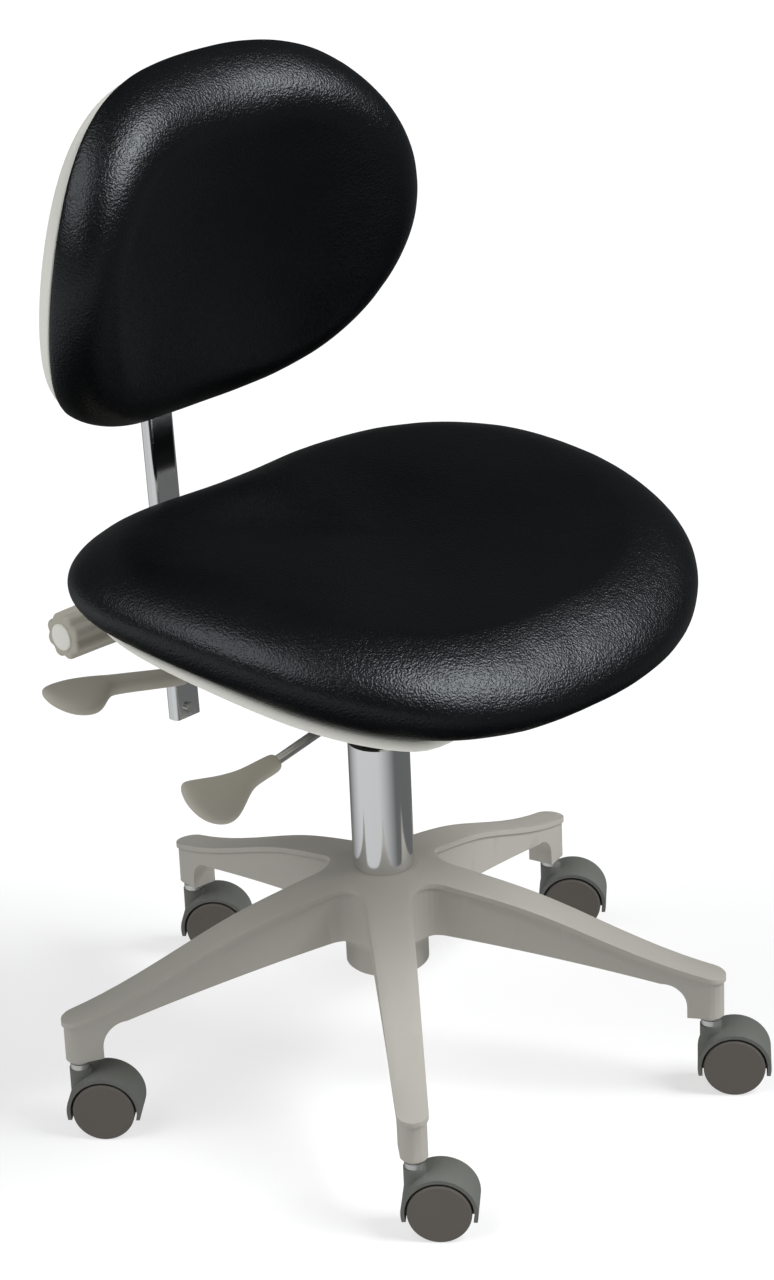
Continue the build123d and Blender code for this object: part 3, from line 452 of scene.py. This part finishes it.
SEAT_CENTRE_Y = -16.9
SEAT_OUTLINE = (233.4, -8.6, 12.8, 8.4, -10.6)
SEAT_WAIST = (460.2, 2.52, -5.07, 0.41, -0.13, 0.107)  # height of the widest line, a polynomial of y / 100
SEAT_UNDERSIDE = (431.9, 7.9, -5.5)
SEAT_MIDDLE_Z = 472.0
SEAT_RIM = 55.0  # width of the rounded rim
SEAT_RISE = 30.0  # how far the rim rises above the widest line
SEAT_ROLL = 30.0  # how far the side curls in under the seat
SEAT_SHARES = (0.02, 0.1, 0.2, 0.32, 0.44, 0.56, 0.68, 0.78, 0.87, 0.94)
BOARD_ROOM_INSET = 40.0
BOARD_ROOM_HEIGHT = 8.3

BACK_CENTRE_Y = 209.3
BACK_CENTRE_Z = 672.6
BACK_LEAN = math.radians(11.8)
BACK_OUTLINE = (173.9, 9.0, 16.3, 4.3, -4.1)
BACK_CURVE_R = 299.0
BACK_RIM = 50.0
BACK_FRONT = -62.0
BACK_DISH = 3.0
BACK_SHARES = (0.02, 0.12, 0.25, 0.4, 0.55, 0.7, 0.82, 0.92)


def uneven(piece):
    """Shallow unevenness of stretched leather over foam."""
    swell = bpy.data.textures.new(f"{piece.name}_swell", "CLOUDS")
    swell.noise_scale = SWELL_SIZE * MM
    finer = piece.modifiers.new("finer", "SUBSURF")
    finer.levels = finer.render_levels = 1
    swelling = piece.modifiers.new("swell", "DISPLACE")
    swelling.texture = swell
    swelling.texture_coords = "LOCAL"
    swelling.strength = SWELL_DEPTH * MM
    swelling.mid_level = 0.5


def long_curve(terms, y):
    """Height of one of the seat's long curves at y, in millimetres."""
    return sum(term * (y / 100) ** power for power, term in enumerate(terms))


def seat_ring(inset, drop, rise, share=1.0):
    """One ring of the seat: `drop` of the way from its widest line to its underside, plus `rise`."""
    ring = []
    for t, across, along in turn(RING_STEPS):
        edge = outline_radius(SEAT_OUTLINE, t) - inset
        y = SEAT_CENTRE_Y + edge * share * along
        waist = long_curve(SEAT_WAIST, y)
        z = waist + (long_curve(SEAT_UNDERSIDE, y) - waist) * drop + rise
        if share < 1:
            edge_z = long_curve(SEAT_WAIST, SEAT_CENTRE_Y + edge * along) + rise
            z = SEAT_MIDDLE_Z + (edge_z - SEAT_MIDDLE_Z) * smooth_step(share)
        ring.append((edge * share * across * MM, y * MM, z * MM))
    return ring


def make_seat_cushion(materials):
    """The contoured seat: a dished top, a full rounded rim and a flat underside with room for its board."""
    rings = [seat_ring(SEAT_RIM, 0, SEAT_RISE, share) for share in SEAT_SHARES]
    for inward, upward in reversed(quarter(12)):
        rings.append(seat_ring(SEAT_RIM * (1 - inward), 0, SEAT_RISE * upward))
    for inward, downward in quarter(8)[1:]:
        rings.append(seat_ring(SEAT_ROLL * (1 - inward), downward, 0))
    rings.append(seat_ring(BOARD_ROOM_INSET, 1, 0))
    rings.append(seat_ring(BOARD_ROOM_INSET, 1, BOARD_ROOM_HEIGHT))
    rings.append(seat_ring(2 * BOARD_ROOM_INSET, 1, BOARD_ROOM_HEIGHT))
    cushion = link_mesh("seat_cushion_cover", rings, materials["leather"], "seat")
    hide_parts("seat_cushion")
    uneven(cushion)


def back_point(x, depth, height):
    """A point of the backrest: across, behind the cushion's rear face, and up it, in millimetres."""
    bent = depth - (BACK_CURVE_R - math.sqrt(BACK_CURVE_R ** 2 - x * x))
    y = BACK_CENTRE_Y + bent * math.cos(BACK_LEAN) - height * math.sin(BACK_LEAN)
    z = BACK_CENTRE_Z + bent * math.sin(BACK_LEAN) + height * math.cos(BACK_LEAN)
    return (x * MM, y * MM, z * MM)


def back_ring(inset, depth, share=1.0, top_inset=0.0):
    """One ring of the backrest, `inset` inside its outline, more at the top, at a share of the way there."""
    ring = []
    for t, across, upward in turn(RING_STEPS):
        r = (outline_radius(BACK_OUTLINE, t) - inset - top_inset * smooth_step(upward)) * share
        ring.append(back_point(r * across, depth, r * upward))
    return ring


def make_back_cushion(materials):
    """The backrest cushion: a full rounded rim round a nearly flat front."""
    rings = []
    for share in BACK_SHARES:
        rings.append(back_ring(BACK_RIM, BACK_FRONT + BACK_DISH * (1 - smooth_step(share)), share))
    for inward, forward in reversed(quarter(14)):
        rings.append(back_ring(BACK_RIM * (1 - inward), BACK_FRONT * forward))
    for inset in (6, 40, 100):
        rings.append(back_ring(inset, 0))
    cushion = link_mesh("back_cushion_cover", rings, materials["leather"], "backrest")
    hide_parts("back_cushion")
    uneven(cushion)


# ---------------------------------------------------------------- shells
SEAT_PAN_BOTTOM = (421.5, 10.8, -4.2)
PAN_INSET = 24.0
PAN_FRONT_INSET = 24.0  # more at the very front, where the cushion hides the pan
PAN_SIDE_FLARE = 4.0  # less at the sides, where it shows below the cushion
PAN_EDGE = 5.0
PAN_EDGE_START = 0.45  # share of the pan's depth above its rounded edge
PLINTH_HALF_X = 61.0
PLINTH_Y = (-68.0, 118.0)
PLINTH_Z = (411.0, 424.0)
PLINTH_STEPS = 48
PLINTH_CORNER = 0.25

SHELL_INSET = 4.0
SHELL_TOP_INSET = 8.0
SHELL_DEPTH = 16.0
SHELL_EDGE = 11.0
SHELL_WALL = 3.0  # depth at which the rounded rear edge starts
SHELL_GAP = 0.3


def pan_ring(inset, under):
    """One ring of the seat pan: 0 at the cushion's underside, 1 at its own."""
    ring = []
    for t, across, along in turn(RING_STEPS):
        frontness = smooth_step((-along - 0.76) / 0.2)
        sideness = smooth_step((abs(across) - 0.3) / 0.4)
        r = outline_radius(SEAT_OUTLINE, t) - PAN_INSET - inset
        r += PAN_SIDE_FLARE * sideness - PAN_FRONT_INSET * frontness
        y = SEAT_CENTRE_Y + r * along
        top, bottom = long_curve(SEAT_UNDERSIDE, y), long_curve(SEAT_PAN_BOTTOM, y)
        z = top + (min(bottom, top - 1) - top) * under
        ring.append((r * across * MM, y * MM, z * MM))
    return ring


def make_seat_pan(materials):
    """The moulded pan under the seat, its lower edge rounded."""
    rings = [pan_ring(60, 0), pan_ring(3, 0), pan_ring(0, 0.08)]
    for inward, downward in quarter(6):
        rings.append(pan_ring(PAN_EDGE * (1 - inward), PAN_EDGE_START + (1 - PAN_EDGE_START) * downward))
    for inset in (20, 60, 110, 160):
        rings.append(pan_ring(inset, 1))
    pan = link_mesh("seat_pan_shell", rings, materials["shell_plastic"], "seat")
    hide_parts("seat_pan")


def make_seat_plinth(materials):
    """The raised block under the pan that the seat plate is screwed to."""
    middle_y, half_y = (PLINTH_Y[0] + PLINTH_Y[1]) / 2, (PLINTH_Y[1] - PLINTH_Y[0]) / 2
    rings = []
    for z in PLINTH_Z:
        ring = []
        for _, across, along in turn(PLINTH_STEPS, 0.5):
            x = PLINTH_HALF_X * squared(across, PLINTH_CORNER)
            y = middle_y + half_y * squared(along, PLINTH_CORNER)
            ring.append((x * MM, y * MM, z * MM))
        rings.append(ring)
    plinth = link_mesh("seat_pan_plinth", rings, materials["shell_plastic"], "seat")
    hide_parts("seat_pan")


def shell_ring(inset, depth, share=1.0):
    """One ring of the rear shell, which stays inside the cushion's outline, more so over the top."""
    return back_ring(SHELL_INSET + inset, depth, share, SHELL_TOP_INSET)


def make_back_shell(materials):
    """The moulded shell behind the backrest, its rear edge well rounded."""
    rings = [shell_ring(inset, SHELL_GAP) for inset in (60, 8, 0)]
    for inward, rearward in quarter(8):
        depth = SHELL_WALL + (SHELL_DEPTH - SHELL_WALL) * rearward
        rings.append(shell_ring(SHELL_EDGE * (1 - inward), depth))
    for share in (0.85, 0.6, 0.35, 0.1):
        rings.append(shell_ring(SHELL_EDGE, SHELL_DEPTH, share))
    shell = link_mesh("back_shell_cover", rings, materials["shell_plastic"], "backrest")
    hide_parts("back_shell")


# ---------------------------------------------------------------- levers and knob
# distance from the tip, half width, half thickness and shift across
PADDLE_SHAPE = (
    (1, 5, 2.5, -3), (3, 11.5, 5, -5), (10, 18, 7.5, -10.5), (22, 21, 8.5, -13), (34, 20, 8.5, -12),
    (46, 14.5, 8, -6.5), (56, 10.5, 7.4, -2.5), (66, 8.4, 7.2, 0),
)
PADDLE_NECK_R = 7.8  # the round end on the rod
PADDLE_NECK_EDGE_R = 6.6
PADDLE_STEPS = 32
PADDLE_CORNER = 0.85
# each paddle's middle line, the control points of a Bezier curve from its neck to its tip
HEIGHT_PADDLE = ((-117.0, -6.0, 315.0), (-160.0, -10.0, 309.0), (-212.0, -2.0, 325.0))
HEIGHT_PADDLE_TILT = 40.0
TILT_PADDLE = ((-58.0, 165.0, 319.0), (-105.0, 167.0, 318.0), (-140.0, 170.0, 347.0), (-200.0, 173.0, 348.0))
TILT_PADDLE_TILT = 20.0

KNOB_R = 21.0
KNOB_LOBES = 8
KNOB_LOBE_DEPTH = 2.4
KNOB_STEPS = 160
KNOB_EDGE = 3.0
KNOB_CAP_R = 11.5
KNOB_CAP_STEPS = 64
# distance from the knob's inner end, or the cap's rise from the outer one, and the shrink of the radius there
KNOB_PROFILE = ((0, 6), (0, 3), (0.9, 0.9), (3, 0), (30, 0.6))
KNOB_CAP_PROFILE = ((-1, 0), (0.9, 0), (1.4, 0.5), (1.7, 1.5), (1.8, 7.5))


def curve_point(points, s):
    """The Bezier curve with these control points: its place and its direction at s."""
    points = [Vector(point) for point in points]
    while len(points) > 2:
        points = [a.lerp(b, s) for a, b in zip(points, points[1:])]
    return points[0].lerp(points[1], s), (points[1] - points[0]).normalized()


def make_paddle(node, body, line, tilt, materials):
    """A moulded lever end on a bent line: a blade lobed towards the sitter's front, and a round neck."""
    length = (Vector(line[0]) - Vector(line[-1])).length
    sideways = Vector((0, math.cos(math.radians(tilt)), math.sin(math.radians(tilt))))
    sections = list(PADDLE_SHAPE)
    sections.append((length - 3, PADDLE_NECK_R, PADDLE_NECK_R, 0))
    sections.append((length - 0.5, PADDLE_NECK_EDGE_R, PADDLE_NECK_EDGE_R, 0))
    rings = []
    for distance, half_width, half_depth, shift in sections:
        middle, along = curve_point(line, 1 - distance / length)
        across = (sideways - along * sideways.dot(along)).normalized()
        through = across.cross(along)
        ring = []
        for _, c, s in turn(PADDLE_STEPS):
            wide = half_width * squared(c, PADDLE_CORNER) + shift
            deep = half_depth * squared(s, PADDLE_CORNER)
            ring.append(tuple((middle + across * wide + through * deep) * MM))
        rings.append(ring)
    paddle = link_mesh(f"{node}_moulding", rings, materials["lever_plastic"], body)
    smoother = paddle.modifiers.new("smooth", "SUBSURF")
    smoother.levels = smoother.render_levels = 2
    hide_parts(node)


def knob_ring(x, y, z, r, steps, lobe_depth=0.0):
    """One ring round the knob's axis, scalloped by `lobe_depth`."""
    ring = []
    for t, c, s in turn(steps):
        scalloped = r - lobe_depth * (0.5 + 0.5 * math.cos(KNOB_LOBES * t)) ** 1.5
        ring.append((x * MM, (y + scalloped * c) * MM, (z + scalloped * s) * MM))
    return ring


def make_knob(materials):
    """The clamp knob, scalloped along its length, and the flat cap in its end."""
    low, high = (Vector(corner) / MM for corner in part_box("clamp_knob"))
    y, z = (low.y + high.y) / 2, (low.z + high.z) / 2
    length = high.x - low.x
    profile = list(KNOB_PROFILE)
    for inward, outward in quarter(4):
        profile.append((length - KNOB_EDGE * (1 - outward), 1 + KNOB_EDGE * (1 - inward)))
    rings = []
    for distance, shrink in profile:
        rings.append(knob_ring(high.x - distance, y, z, KNOB_R - shrink, KNOB_STEPS, KNOB_LOBE_DEPTH))
    knob = link_mesh("clamp_knob_moulding", rings, materials["lever_plastic"], "knob")
    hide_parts("clamp_knob")

    rings = []
    for rise, shrink in KNOB_CAP_PROFILE:
        rings.append(knob_ring(low.x - rise, y, z, KNOB_CAP_R - shrink, KNOB_CAP_STEPS))
    cap = link_mesh("knob_cap_moulding", rings, materials["shell_plastic"], "knob")
    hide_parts("knob_cap")


# ---------------------------------------------------------------- edges of the CAD nodes
BEVELS = (
    ("hood", 1.2), ("wheel", 0.6), ("post_sleeve", 0.8), ("mechanism_housing", 0.8), ("seat_plate", 0.8),
    ("back_arm", 1.2), ("base_spider", 0.7),
)
BEVEL_SHARPEST = math.radians(35)  # edges flatter than this stay as they are
WELD_DISTANCE = 0.01


def soften_edges():
    """Small rounded edges on the CAD nodes whose edges show."""
    for name, node in frame["nodes"].items():
        for part, width in BEVELS:
            if part in name:
                weld = node.modifiers.new("weld", "WELD")
                weld.merge_threshold = WELD_DISTANCE * MM
                bevel = node.modifiers.new("bevel", "BEVEL")
                bevel.width = width * MM
                bevel.segments = 2
                bevel.limit_method = "ANGLE"
                bevel.angle_limit = BEVEL_SHARPEST
                bevel.harden_normals = True


make_camera()
make_studio()
materials = make_materials()
dress_cad_nodes(materials)
make_seat_cushion(materials)
make_back_cushion(materials)
make_seat_pan(materials)
make_seat_plinth(materials)
make_back_shell(materials)
make_paddle("height_paddle", "height_lever", HEIGHT_PADDLE, HEIGHT_PADDLE_TILT, materials)
make_paddle("tilt_paddle", "tilt_lever", TILT_PADDLE, TILT_PADDLE_TILT, materials)
make_knob(materials)
soften_edges()
